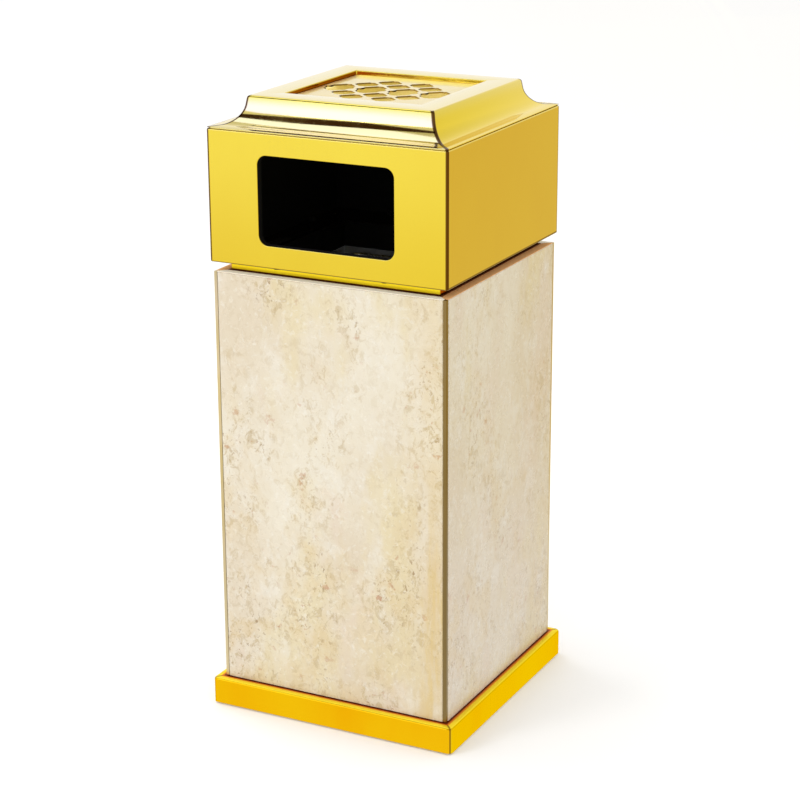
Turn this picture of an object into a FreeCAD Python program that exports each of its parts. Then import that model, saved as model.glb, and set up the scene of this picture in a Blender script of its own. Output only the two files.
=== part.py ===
import FreeCAD, Part
import math
import os

# Lobby ashtray bin: a stone-clad body on a sheet-metal plinth, with a lift-off head
# that has a throw opening in its front wall and an ash pan under a grille in its crown.
# Millimetres, +Z up, front at -Y, origin on the floor under the middle of the bin.

os.makedirs("parts", exist_ok=True)

V = FreeCAD.Vector

# Plinth and feet
PLINTH_WIDTH = 280.0
PLINTH_TOP = 30.0
PLINTH_GAP = 2.0             # the skirt hangs this far above the floor
PLINTH_SHEET = 1.5
PLINTH_CORNER = 5.0
PLINTH_EDGE = 3.0
BOARD_WIDTH = 270.0
BOARD_THICK = 20.0
FOOT_SPREAD = 105.0          # foot centres from the middle, in X and in Y
FOOT_RADIUS = 18.0
FOOT_TIP_RADIUS = 15.0
FOOT_RECESS = 4.0            # depth and radius of the recess for the foot's screw
FOOT_RECESS_RADIUS = 6.0
FOOT_SCREW_GRIP = 14.0       # length of the foot's screw inside the board
BOLT_SPREAD = 85.0           # centres of the bolts that join casing, tray and board
NUT_POCKET_DEPTH = 8.0
BOLT_TIP = 1.0               # the bolts end this far above the board's underside
GASKET_THICK = 1.0
GASKET_WIDTH = 10.0
GASKET_INSET = 2.0           # set back from the stone's face

# Stone cladding
STONE_WIDTH = 260.0
STONE_THICK = 15.0
STONE_HEIGHT = 442.0
STONE_ARRIS = 0.8            # polished arris along the outer edges
TRIM_WIDTH = 4.0             # gold strip in each vertical corner
TRIM_INSET = 0.3
TRIM_ROUND = 1.0
MITRE_GAP = 0.2
PAD_WIDTH = 25.0
PAD_OFFSET = 60.0            # adhesive pads' centres from each panel's middle
PAD_MARGIN = 35.0            # adhesive pads stop this far from the casing's ends

# Inner casing
CASING_WIDTH = 228.0
CASING_SHEET = 1.2
CASING_CORNER = 3.0

# Head
NECK_WIDTH = 233.0
NECK_HEIGHT = 10.0
NECK_FLANGE_WIDTH = 256.0
NECK_SCREW_RING = (122.0, 60.0)      # distance from the middle, and offset along each side
STUD_RING = (124.0, 70.0)
STUD_LENGTH = 10.0
HEAD_WIDTH = 264.0
HEAD_HEIGHT = 135.0
HEAD_SHEET = 1.2
HEAD_BEND = 2.0
HEAD_RIM_BEND = 1.5
HEAD_FLANGE = 15.0           # width of the in-turned flanges at the head's top and bottom
SEAM_GAP = 0.3               # upright butt seam of the wrapped sheet, in the middle of the back
SKIRT_WIDTH = 223.0
SKIRT_DEPTH = 25.0           # how far the skirt drops into the casing
SKIRT_RISE = 1.5             # its flange is this far above the casing's rim
OPENING_WIDTH = 150.0
OPENING_HEIGHT = 90.0
OPENING_BOTTOM = 23.0        # above the head's bottom edge
OPENING_CORNER = 10.0
OPENING_LIP = 8.0
OPENING_ROUND = 0.8          # bend between the front wall and the lip
STRAP_WIDTH = 30.0
STRAP_THICK = 1.5
STRAP_MARGIN = (4.0, 6.0)    # from the bottom flange and from the head's top
RIVET_FIRST = 22.0           # the lowest rivet above the head's bottom, then one every pitch
RIVET_PITCH = 30.0

# Crown: widths are measured inwards from its outer edge, heights up from the head's top
CROWN_WIDTH = 263.4
CROWN_SHEET = 1.2
CROWN_HEIGHT = 30.0
CROWN_HEM = 12.0             # width of the solid edge that stands on the head's walls
CROWN_REVEAL = 1.0           # height of the groove under the crown's edge
REVEAL_DEPTH = 1.2
BAND_START = 1.4             # height of the crown's outer edge
BAND_END = (9.0, 2.2)        # end of the nearly flat outer band
COVE_MIDDLE = (21.0, 9.3)    # middle of the concave cove
COVE_END = (28.0, 21.0)      # where the cove meets the fascia
FASCIA_LEAN = 9.5            # degrees that the fascia leans inwards
CROWN_TOP_ROUND = 3.0
RECESS_WIDTH = 150.0
RECESS_DEPTH = 7.0
RECESS_ROUND = 0.8           # bend at the recess's rim
SEAT_WIDTH = 134.0           # square hole in the recess floor

# Ash pan and grille
PAN_WIDTH = 132.0
PAN_FLANGE_WIDTH = 148.4
PAN_DEPTH = 32.0
PAN_SHEET = 1.0
PAN_CORNER = 8.0
PAN_BOTTOM_ROUND = 4.0
GRILLE_WIDTH = 147.6
GRILLE_THICK = 1.6
GRILLE_CORNER = 1.5
GRILLE_STEP_X = 18.0         # half the spacing of the crossings along X, and along Y
GRILLE_STEP_Y = 17.0
GRILLE_WEB = 3.6
GRILLE_BOSS_RADIUS = 5.8

# Liner bucket
LINER_WIDTH = 212.0
LINER_SHEET = 0.8
LINER_CORNER = 10.0
LINER_RIM_TOP = 438.0
LINER_RIM_SIZE = 4.6
BAIL_REST = 0.3              # gap between the lying bail and the rim
EAR_WIDTH = 24.0
EAR_THICK = 2.0
EAR_HEIGHT = 44.0
EAR_TOP_RADIUS = 9.0
EAR_SHOULDER = 6.0           # the ear narrows this far below the bail's axis
EAR_RIVET_DROP = 14.0        # upper rivet below the bail's axis, and the lower one below it
EAR_RIVET_PITCH = 16.0
BAIL_WIRE = 5.0
BAIL_RADIAL_PLAY = 0.08
BAIL_REACH = 106.5           # from the hinge axis to the crossbar
BAIL_HALF_WIDTH = 98.0
BAIL_BEND = 14.0
BAIL_HOOK_BEND = 4.5
BAIL_END = 1.5               # the ends stop this far outside the bucket's inner wall

# Fasteners
M4_RADIUS = 2.0
M4_NUT_FLATS = 7.0
M4_NUT_THICK = 3.2
SCREW_HEAD_RADIUS = 3.8
SCREW_HEAD_THICK = 2.0
M6_RADIUS = 3.0
M6_NUT_FLATS = 10.0
M6_NUT_THICK = 5.0
M6_HEAD_THICK = 4.0
WASHER_RADIUS = 9.0
WASHER_THICK = 1.6
RIVET_RADIUS = 2.0
RIVET_HEAD_RADIUS = 3.6
RIVET_HEAD_THICK = 1.2
HOLE_PLAY = 0.2              # radial clearance of fastener holes

# Heights that follow from the sizes above
BOARD_TOP = PLINTH_TOP - PLINTH_SHEET
BOARD_BOTTOM = BOARD_TOP - BOARD_THICK
STONE_BOTTOM = PLINTH_TOP + GASKET_THICK
BODY_TOP = STONE_BOTTOM + STONE_HEIGHT
HEAD_BOTTOM = BODY_TOP + NECK_HEIGHT
HEAD_TOP = HEAD_BOTTOM + HEAD_HEIGHT
TOP = HEAD_TOP + CROWN_HEIGHT
RECESS_FLOOR = TOP - RECESS_DEPTH
FLANGE_TOP = HEAD_BOTTOM + HEAD_SHEET
NECK_TOP = FLANGE_TOP + HEAD_SHEET
PAN_FLANGE_TOP = RECESS_FLOOR + PAN_SHEET
HINGE_HEIGHT = LINER_RIM_TOP + BAIL_WIRE / 2 + BAIL_REST
EAR_FACE = LINER_WIDTH / 2 - LINER_SHEET     # inner face of the bucket's wall

SIDES = {"front": 0, "right": 90, "back": 180, "left": 270}
CORNERS = {"front_right": 0, "back_right": 90, "back_left": 180, "front_left": 270}
Z_AXIS = V(0, 0, 1)


# ---------------------------------------------------------------- helpers

def block(x0, x1, y0, y1, z0, z1):
    """Box between two corners."""
    return Part.makeBox(x1 - x0, y1 - y0, z1 - z0, V(x0, y0, z0))


def square_block(width, z0, z1, corner=0.0):
    """Upright square prism centred on Z, with rounded vertical corners."""
    half = width / 2
    solid = block(-half, half, -half, half, z0, z1)
    if corner > 0:
        solid = solid.makeFillet(corner, upright_edges(solid))
    return solid


def upright_edges(solid):
    """The straight edges of a solid that run along Z."""
    found = []
    for edge in solid.Edges:
        ends = [vertex.Point for vertex in edge.Vertexes]
        if len(ends) == 2 and (ends[0] - ends[1]).cross(Z_AXIS).Length < 1e-6:
            found.append(edge)
    return found


def edges_at(solid, z):
    """The edges of a solid that lie wholly at one height."""
    return [e for e in solid.Edges if abs(e.BoundBox.ZMin - z) < 1e-6 and abs(e.BoundBox.ZMax - z) < 1e-6]


def within(edges, half):
    """The edges that lie inside +-half in X and in Y."""
    found = []
    for edge in edges:
        box = edge.BoundBox
        if max(-box.XMin, box.XMax, -box.YMin, box.YMax) < half:
            found.append(edge)
    return found


def square_tube(width, sheet, z0, z1, corner=0.0):
    """Square tube of the given outer width and wall thickness."""
    inner_corner = max(corner - sheet, 0.0)
    return square_block(width, z0, z1, corner).cut(square_block(width - 2 * sheet, z0, z1, inner_corner))


def rod(x, y, z0, z1, radius):
    """Upright cylinder."""
    return Part.makeCylinder(radius, z1 - z0, V(x, y, z0), Z_AXIS)


def hexagon(x, y, z0, z1, flats):
    """Upright hexagonal prism, given the width across its flats."""
    radius = flats / math.sqrt(3)
    points = []
    for k in range(7):
        turn = math.radians(60 * k)
        points.append(V(x + radius * math.cos(turn), y + radius * math.sin(turn), z0))
    return Part.Face(Part.makePolygon(points)).extrude(V(0, 0, z1 - z0))


def outline_prism(points, height):
    """Solid over a closed outline of corner points that lie in a horizontal plane."""
    return Part.Face(Part.makePolygon(points + points[:1])).extrude(V(0, 0, height))


def turned(shape, degrees):
    """Copy of a shape, turned about the bin's upright axis."""
    copy = shape.copy()
    copy.rotate(V(0, 0, 0), Z_AXIS, degrees)
    return copy


def around(shape):
    """The shape and its copies on the other three sides."""
    return [turned(shape, degrees) for degrees in SIDES.values()]


def at_corners(spread):
    """The four points at +-spread in X and Y."""
    return [(sx * spread, sy * spread) for sx in (-1, 1) for sy in (-1, 1)]


def cut_all(solid, tools):
    """The solid with every tool cut from it."""
    for tool in tools:
        solid = solid.cut(tool)
    return solid


def save(name, shapes):
    """Writes one node; separate solids of a node stay separate."""
    if not isinstance(shapes, list):
        shapes = [shapes]
    solids = [solid for shape in shapes for solid in shape.Solids]
    result = solids[0] if len(solids) == 1 else Part.makeCompound(solids)
    result.exportStep("parts/" + name + ".step")


# ---------------------------------------------------------------- plinth

def plinth_tray():
    """Upside-down tray of folded sheet with rounded corners and a rounded top edge."""
    outer = square_block(PLINTH_WIDTH, PLINTH_GAP, PLINTH_TOP, PLINTH_CORNER)
    outer = outer.makeFillet(PLINTH_EDGE, edges_at(outer, PLINTH_TOP))
    inner_width = PLINTH_WIDTH - 2 * PLINTH_SHEET
    inner = square_block(inner_width, PLINTH_GAP, BOARD_TOP, PLINTH_CORNER - PLINTH_SHEET)
    inner = inner.makeFillet(PLINTH_EDGE - PLINTH_SHEET, edges_at(inner, BOARD_TOP))
    return cut_all(outer.cut(inner), bolt_holes())


def bolt_holes():
    """Clearance holes for the bolts that join casing, tray and board."""
    top = PLINTH_TOP + CASING_SHEET
    return [rod(x, y, 0, top, M6_RADIUS + HOLE_PLAY) for x, y in at_corners(BOLT_SPREAD)]


def plinth_board():
    """Ballast board under the tray, with nut pockets and foot-screw holes."""
    board = square_block(BOARD_WIDTH, BOARD_BOTTOM, BOARD_TOP, PLINTH_CORNER)
    board = cut_all(board, bolt_holes())
    pocket_radius = WASHER_RADIUS + HOLE_PLAY
    pocket_top = BOARD_BOTTOM + NUT_POCKET_DEPTH
    pockets = [rod(x, y, BOARD_BOTTOM, pocket_top, pocket_radius) for x, y in at_corners(BOLT_SPREAD)]
    return cut_all(cut_all(board, pockets), foot_screws())


def rubber_feet():
    """Tapered round feet with a recess for the screw's head."""
    feet = []
    for x, y in at_corners(FOOT_SPREAD):
        foot = Part.makeCone(FOOT_TIP_RADIUS, FOOT_RADIUS, BOARD_BOTTOM, V(x, y, 0), Z_AXIS)
        foot = foot.cut(rod(x, y, 0, FOOT_RECESS, FOOT_RECESS_RADIUS))
        feet.append(foot.cut(rod(x, y, 0, BOARD_BOTTOM, M4_RADIUS)))
    return feet


def foot_screws():
    """Pan-head screws that hold the feet to the board."""
    screws = []
    for x, y in at_corners(FOOT_SPREAD):
        head = rod(x, y, FOOT_RECESS - SCREW_HEAD_THICK, FOOT_RECESS, SCREW_HEAD_RADIUS)
        shank = rod(x, y, FOOT_RECESS, BOARD_BOTTOM + FOOT_SCREW_GRIP, M4_RADIUS)
        screws.append(head.fuse(shank).removeSplitter())
    return screws


def body_bolts():
    """Hexagon-head bolts from the casing's floor down through the board."""
    head_bottom = PLINTH_TOP + CASING_SHEET + WASHER_THICK
    bolts = []
    for x, y in at_corners(BOLT_SPREAD):
        head = hexagon(x, y, head_bottom, head_bottom + M6_HEAD_THICK, M6_NUT_FLATS)
        shank = rod(x, y, BOARD_BOTTOM + BOLT_TIP, head_bottom, M6_RADIUS)
        bolts.append(head.fuse(shank).removeSplitter())
    return bolts


def body_washers():
    """Wide washers under the bolt heads."""
    bottom = PLINTH_TOP + CASING_SHEET
    washers = []
    for x, y in at_corners(BOLT_SPREAD):
        washer = rod(x, y, bottom, bottom + WASHER_THICK, WASHER_RADIUS)
        washers.append(washer.cut(rod(x, y, bottom, bottom + WASHER_THICK, M6_RADIUS)))
    return washers


def body_nuts():
    """Nuts in the pockets of the board."""
    top = BOARD_BOTTOM + NUT_POCKET_DEPTH
    nuts = []
    for x, y in at_corners(BOLT_SPREAD):
        nut = hexagon(x, y, top - M6_NUT_THICK, top, M6_NUT_FLATS)
        nuts.append(nut.cut(rod(x, y, BOARD_BOTTOM, top, M6_RADIUS)))
    return nuts


def base_gasket():
    """Flat dark bead that the stone stands on, set back from the stone's face."""
    return square_tube(STONE_WIDTH - 2 * GASKET_INSET, GASKET_WIDTH, PLINTH_TOP, STONE_BOTTOM)


# ---------------------------------------------------------------- body

def inner_casing():
    """Open-topped sheet box that the stone is bonded to."""
    outer = square_block(CASING_WIDTH, PLINTH_TOP, BODY_TOP, CASING_CORNER)
    inner_width = CASING_WIDTH - 2 * CASING_SHEET
    inner = square_block(inner_width, PLINTH_TOP + CASING_SHEET, BODY_TOP, CASING_CORNER - CASING_SHEET)
    return cut_all(outer.cut(inner), bolt_holes())


def stone_panel():
    """Front panel: ends beside the corner trims, then mitres back to the casing's corners."""
    outer = STONE_WIDTH / 2
    inner = outer - STONE_THICK
    end = outer - TRIM_WIDTH - MITRE_GAP
    mitre = math.sqrt(2) * MITRE_GAP
    points = [
        V(-end, -outer, STONE_BOTTOM),
        V(end, -outer, STONE_BOTTOM),
        V(end, -end - mitre, STONE_BOTTOM),
        V(inner - mitre, -inner, STONE_BOTTOM),
        V(mitre - inner, -inner, STONE_BOTTOM),
        V(-end, -end - mitre, STONE_BOTTOM),
    ]
    panel = outline_prism(points, STONE_HEIGHT)
    face_edges = []
    for edge in panel.Edges:
        box = edge.BoundBox
        if box.YMax < STONE_ARRIS - outer and box.ZMax > STONE_BOTTOM + 1:
            face_edges.append(edge)
    return panel.makeChamfer(STONE_ARRIS, face_edges)


def corner_trim():
    """Strip in the front right corner of the cladding, with its outer edge rounded."""
    far = STONE_WIDTH / 2 - TRIM_INSET
    near = STONE_WIDTH / 2 - TRIM_WIDTH
    strip = block(near, far, -far, -near, STONE_BOTTOM, BODY_TOP)
    corner = [e for e in upright_edges(strip) if e.BoundBox.XMin > far - 0.1 and e.BoundBox.YMax < 0.1 - far]
    return strip.makeFillet(TRIM_ROUND, corner)


def panel_adhesive():
    """Two upright adhesive pads behind each panel."""
    back = CASING_WIDTH / 2
    front = STONE_WIDTH / 2 - STONE_THICK
    pads = []
    for x in (-PAD_OFFSET, PAD_OFFSET):
        low = PLINTH_TOP + PAD_MARGIN
        high = BODY_TOP - PAD_MARGIN
        pads += around(block(x - PAD_WIDTH / 2, x + PAD_WIDTH / 2, -front, -back, low, high))
    return pads


# ---------------------------------------------------------------- head

def ring_points(ring):
    """Two points on each side of a square ring."""
    distance, offset = ring
    points = []
    for x, y in ((-offset, -distance), (offset, -distance)):
        for degrees in SIDES.values():
            turn = math.radians(degrees)
            points.append((x * math.cos(turn) - y * math.sin(turn), x * math.sin(turn) + y * math.cos(turn)))
    return points


def opening_block(margin, y0, y1):
    """The throw opening's outline, grown by a margin, as a block through the front wall."""
    half = OPENING_WIDTH / 2 + margin
    low = HEAD_BOTTOM + OPENING_BOTTOM - margin
    high = HEAD_BOTTOM + OPENING_BOTTOM + OPENING_HEIGHT + margin
    solid = block(-half, half, y0, y1, low, high)
    edges = [e for e in solid.Edges if abs(e.BoundBox.YLength - (y1 - y0)) < 1e-6]
    return solid.makeFillet(OPENING_CORNER + margin, edges)


def head_walls():
    """Wrapped sheet box with in-turned flanges and a lipped throw opening."""
    outer = square_block(HEAD_WIDTH, HEAD_BOTTOM, HEAD_TOP, HEAD_BEND)
    rims = edges_at(outer, HEAD_BOTTOM) + edges_at(outer, HEAD_TOP)
    outer = outer.makeFillet(HEAD_RIM_BEND, rims)
    inner_width = HEAD_WIDTH - 2 * HEAD_SHEET
    inner = square_block(inner_width, FLANGE_TOP, HEAD_TOP - HEAD_SHEET, HEAD_BEND - HEAD_SHEET)
    mouth = square_block(HEAD_WIDTH - 2 * HEAD_FLANGE, HEAD_BOTTOM, HEAD_TOP)
    half = HEAD_WIDTH / 2
    lip = opening_block(HEAD_SHEET, -half + HEAD_SHEET, -half + OPENING_LIP)
    walls = outer.cut(inner).cut(mouth).fuse(lip).cut(opening_block(0, -half - 1, -half + OPENING_LIP + 1))
    walls = walls.makeFillet(OPENING_ROUND, opening_rim(walls))
    seam = block(-SEAM_GAP / 2, SEAM_GAP / 2, half - HEAD_FLANGE - 1, half + 1, HEAD_BOTTOM, HEAD_TOP)
    rivet_holes = [rivet_shank(x, z) for x, z in rivet_places()]
    return cut_all(walls, neck_screw_holes() + stud_holes() + rivet_holes + [seam])


def opening_rim(walls):
    """The edges of the throw opening in the plane of the front wall."""
    reach = OPENING_WIDTH / 2 + 1
    found = []
    for edge in walls.Edges:
        box = edge.BoundBox
        in_front = box.YMax < 0.1 - HEAD_WIDTH / 2
        if in_front and box.XMin > -reach and box.XMax < reach:
            found.append(edge)
    return found


def neck_screw_holes():
    """Clearance holes through the flanges of the head's walls and the neck ring."""
    radius = M4_RADIUS + HOLE_PLAY
    return [rod(x, y, HEAD_BOTTOM - 1, NECK_TOP + 1, radius) for x, y in ring_points(NECK_SCREW_RING)]


def stud_holes():
    """Clearance holes for the crown's studs in the walls' top flange."""
    return [rod(x, y, HEAD_TOP - 2, HEAD_TOP + 1, M4_RADIUS + HOLE_PLAY) for x, y in ring_points(STUD_RING)]


def neck_ring():
    """Ring that stands on the stone, with an out-turned flange that the head's walls rest on."""
    wall = square_tube(NECK_WIDTH, HEAD_SHEET, BODY_TOP, NECK_TOP)
    flange = square_block(NECK_FLANGE_WIDTH, FLANGE_TOP, NECK_TOP)
    flange = flange.cut(square_block(NECK_WIDTH - 2 * HEAD_SHEET, FLANGE_TOP, NECK_TOP))
    return cut_all(wall.fuse(flange).removeSplitter(), neck_screw_holes())


def plug_skirt():
    """Angle ring welded inside the neck ring; its leg drops into the casing."""
    flange_bottom = BODY_TOP + SKIRT_RISE
    flange_top = flange_bottom + HEAD_SHEET
    leg = square_tube(SKIRT_WIDTH, HEAD_SHEET, BODY_TOP - SKIRT_DEPTH, flange_top)
    flange = square_block(NECK_WIDTH - 2 * HEAD_SHEET, flange_bottom, flange_top)
    flange = flange.cut(square_block(SKIRT_WIDTH - 2 * HEAD_SHEET, flange_bottom, flange_top))
    return leg.fuse(flange).removeSplitter()


def neck_screws():
    """Button-head screws up through the head's bottom flange and the neck ring's flange."""
    screws = []
    for x, y in ring_points(NECK_SCREW_RING):
        head = rod(x, y, HEAD_BOTTOM - SCREW_HEAD_THICK, HEAD_BOTTOM, SCREW_HEAD_RADIUS)
        shank = rod(x, y, HEAD_BOTTOM, NECK_TOP + M4_NUT_THICK + 1, M4_RADIUS)
        screws.append(head.fuse(shank).removeSplitter())
    return screws


def nuts_at(points, bottom):
    """M4 nuts at the given points."""
    nuts = []
    for x, y in points:
        nut = hexagon(x, y, bottom, bottom + M4_NUT_THICK, M4_NUT_FLATS)
        nuts.append(nut.cut(rod(x, y, bottom, bottom + M4_NUT_THICK, M4_RADIUS)))
    return nuts


def neck_nuts():
    """Nuts on top of the neck ring's flange."""
    return nuts_at(ring_points(NECK_SCREW_RING), NECK_TOP)


def crown_studs():
    """Studs welded under the crown's edge, down through the walls' top flange."""
    return [rod(x, y, HEAD_TOP - STUD_LENGTH, HEAD_TOP, M4_RADIUS) for x, y in ring_points(STUD_RING)]


def crown_nuts():
    """Nuts that pull the crown down on to the walls."""
    return nuts_at(ring_points(STUD_RING), HEAD_TOP - HEAD_SHEET - M4_NUT_THICK)


def seam_strap():
    """Strip behind the seam of the wrapped sheet, in the middle of the back wall."""
    face = HEAD_WIDTH / 2 - HEAD_SHEET
    half = STRAP_WIDTH / 2
    low = FLANGE_TOP + STRAP_MARGIN[0]
    high = HEAD_TOP - STRAP_MARGIN[1]
    strap = block(-half, half, face - STRAP_THICK, face, low, high)
    return cut_all(strap, [rivet_shank(x, z) for x, z in rivet_places()])


def rivet_places():
    """Two columns of four rivets, as X and Z."""
    columns = (-STRAP_WIDTH / 4, STRAP_WIDTH / 4)
    return [(x, HEAD_BOTTOM + RIVET_FIRST + RIVET_PITCH * k) for x in columns for k in range(4)]


def rivet_shank(x, z):
    """Shank of a seam rivet, through wall and strap."""
    length = HEAD_SHEET + STRAP_THICK
    return Part.makeCylinder(RIVET_RADIUS, length, V(x, HEAD_WIDTH / 2 - length, z), V(0, 1, 0))


def seam_rivets():
    """Low-headed rivets through the strap and the back wall."""
    face = HEAD_WIDTH / 2
    rivets = []
    for x, z in rivet_places():
        seat = V(x, face - HEAD_SHEET - STRAP_THICK, z)
        inside = Part.makeCylinder(RIVET_HEAD_RADIUS, RIVET_HEAD_THICK, seat, V(0, -1, 0))
        rivets.append(rivet_shank(x, z).fuse(inside).removeSplitter())
    return rivets


# ---------------------------------------------------------------- crown

def crown_section(inset):
    """Closed section of the crown in the XZ plane, its surface moved inwards by an inset."""
    half = CROWN_WIDTH / 2

    def at(point, drop_in, drop_down):
        return V(half - point[0] - drop_in, 0, HEAD_TOP + point[1] - drop_down)

    lean = math.radians(FASCIA_LEAN)
    middle = math.radians((FASCIA_LEAN + 90) / 2)
    diagonal = math.sqrt(0.5)
    radius = CROWN_TOP_ROUND - inset
    round_height = CROWN_HEIGHT - CROWN_TOP_ROUND
    fascia_rise = round_height + CROWN_TOP_ROUND * math.sin(lean) - COVE_END[1]
    round_inset = COVE_END[0] + fascia_rise * math.tan(lean) + CROWN_TOP_ROUND * math.cos(lean)

    def on_round(angle):
        return at((round_inset - radius * math.cos(angle), round_height + radius * math.sin(angle)), 0, 0)

    band_start = at((0, BAND_START), 0, inset)
    band_end = at(BAND_END, 0, inset)
    cove_middle = at(COVE_MIDDLE, inset * diagonal, inset * diagonal)
    cove_end = at(COVE_END, inset * math.cos(lean), inset * math.sin(lean))
    fascia_top = on_round(lean)
    round_middle = on_round(middle)
    top_start = on_round(math.pi / 2)
    right = [
        Part.LineSegment(band_start, band_end),
        Part.Arc(band_end, cove_middle, cove_end),
        Part.LineSegment(cove_end, fascia_top),
        Part.Arc(fascia_top, round_middle, top_start),
    ]
    return right, band_start, top_start


def crown_block(inset):
    """Solid with the crown's section on all four sides: two crossed prisms' common part."""
    right, band_start, top_start = crown_section(inset)
    floor = V(band_start.x, 0, HEAD_TOP)
    edges = [Part.LineSegment(floor, band_start).toShape()] + [curve.toShape() for curve in right]
    edges.append(Part.LineSegment(top_start, V(0, 0, top_start.z)).toShape())
    edges.append(Part.LineSegment(V(0, 0, top_start.z), V(0, 0, HEAD_TOP)).toShape())
    edges.append(Part.LineSegment(V(0, 0, HEAD_TOP), floor).toShape())
    face = Part.Face(Part.Wire(edges))
    face.translate(V(0, -CROWN_WIDTH, 0))
    half = face.extrude(V(0, 2 * CROWN_WIDTH, 0))
    prism = half.fuse(turned(half, 180)).removeSplitter()
    return prism.common(turned(prism, 90))


def crown():
    """Cove moulding and top slab of one sheet, with a recess that seats the ash pan."""
    outer = crown_block(0.0)
    hollow = crown_block(CROWN_SHEET)
    hollow = hollow.common(square_block(CROWN_WIDTH - 2 * CROWN_HEM, HEAD_TOP, TOP))
    groove = square_block(CROWN_WIDTH + 2, HEAD_TOP, HEAD_TOP + CROWN_REVEAL)
    groove = groove.cut(square_block(CROWN_WIDTH - 2 * REVEAL_DEPTH, HEAD_TOP, HEAD_TOP + CROWN_REVEAL))
    recess = square_block(RECESS_WIDTH, RECESS_FLOOR, TOP)
    well = square_block(RECESS_WIDTH + 2 * CROWN_SHEET, RECESS_FLOOR - CROWN_SHEET, TOP)
    hole = square_block(SEAT_WIDTH, HEAD_TOP, TOP)
    sheet = cut_all(outer.cut(hollow).cut(groove).fuse(well.common(outer)), [recess, hole]).removeSplitter()
    return sheet.makeFillet(RECESS_ROUND, within(edges_at(sheet, TOP), RECESS_WIDTH / 2 + 1))


# ---------------------------------------------------------------- ash pan and grille

def ash_pan():
    """Pan hung in the recess by its flange."""
    bottom = RECESS_FLOOR - PAN_DEPTH
    flange = square_block(PAN_FLANGE_WIDTH, RECESS_FLOOR, PAN_FLANGE_TOP, GRILLE_CORNER)
    body = square_block(PAN_WIDTH, bottom, PAN_FLANGE_TOP, PAN_CORNER)
    body = body.makeFillet(PAN_BOTTOM_ROUND, edges_at(body, bottom))
    inner_width = PAN_WIDTH - 2 * PAN_SHEET
    inner = square_block(inner_width, bottom + PAN_SHEET, PAN_FLANGE_TOP, PAN_CORNER - PAN_SHEET)
    floor_edges = edges_at(inner, bottom + PAN_SHEET)
    inner = inner.makeFillet(PAN_BOTTOM_ROUND - PAN_SHEET, floor_edges)
    return flange.fuse(body).cut(inner).removeSplitter()


def grille_cells():
    """Corner lists of the openings: a middle row of hexagons, with rows of diamonds on both sides."""
    half_x = GRILLE_STEP_X
    half_y = GRILLE_STEP_Y
    notch = half_y / 2
    hexagon_cell = [(-half_x, notch), (0, notch + half_y), (half_x, notch)]
    hexagon_cell += [(half_x, -notch), (0, -notch - half_y), (-half_x, -notch)]
    diamond_cell = [(-half_x, 0), (0, half_y), (half_x, 0), (0, -half_y)]
    cells = []
    for column in (-3, -1, 1, 3):
        cells.append(moved(hexagon_cell, column * half_x, 0))
    for row, columns in ((1, (-2, 0, 2)), (2, (-1, 1))):
        for column in columns:
            for side in (-1, 1):
                cells.append(moved(diamond_cell, column * half_x, side * (notch + row * half_y)))
    return cells


def moved(points, dx, dy):
    """Points shifted by dx and dy."""
    return [(x + dx, y + dy) for x, y in points]


def grille_plate():
    """Stub-out plate: a fretwork of thin diagonal webs with a round boss at each crossing."""
    top = PAN_FLANGE_TOP + GRILLE_THICK
    plate = square_block(GRILLE_WIDTH, PAN_FLANGE_TOP, top, GRILLE_CORNER)
    bosses = []
    openings = []
    for cell in grille_cells():
        corners = [V(x, y, PAN_FLANGE_TOP) for x, y in cell]
        outline = Part.Face(Part.makePolygon(corners + corners[:1]))
        openings.append(outline.makeOffset2D(-GRILLE_WEB / 2, 2).extrude(V(0, 0, GRILLE_THICK)))
        bosses += [rod(x, y, PAN_FLANGE_TOP, top, GRILLE_BOSS_RADIUS) for x, y in cell]
    boss_field = bosses[0].multiFuse(bosses[1:])
    return cut_all(plate, [opening.cut(boss_field) for opening in openings])


# ---------------------------------------------------------------- liner

def liner_bucket():
    """Square bucket with a beaded rim, standing on the casing's floor."""
    bottom = PLINTH_TOP + CASING_SHEET + WASHER_THICK + M6_HEAD_THICK
    top = LINER_RIM_TOP - LINER_RIM_SIZE / 2
    outer = square_block(LINER_WIDTH, bottom, top, LINER_CORNER)
    inner_width = LINER_WIDTH - 2 * LINER_SHEET
    inner = square_block(inner_width, bottom + LINER_SHEET, LINER_RIM_TOP, LINER_CORNER - LINER_SHEET)
    rim_width = inner_width + 2 * LINER_RIM_SIZE
    rim_bottom = LINER_RIM_TOP - LINER_RIM_SIZE
    rim = square_block(rim_width, rim_bottom, LINER_RIM_TOP, LINER_CORNER + LINER_RIM_SIZE)
    rims = edges_at(rim, LINER_RIM_TOP) + edges_at(rim, rim_bottom)
    rim = rim.makeFillet(LINER_RIM_SIZE * 0.45, rims)
    bucket = outer.fuse(rim).cut(inner).removeSplitter()
    shanks = [ear_rivet_shank(y, z) for y, z in ear_rivet_places()]
    return cut_all(bucket, shanks + [turned(shank, 180) for shank in shanks])


def ear_rivet_places():
    """Y and Z of the two rivets of one ear."""
    top = HINGE_HEIGHT - EAR_RIVET_DROP
    return [(0, top), (0, top - EAR_RIVET_PITCH)]


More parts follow.
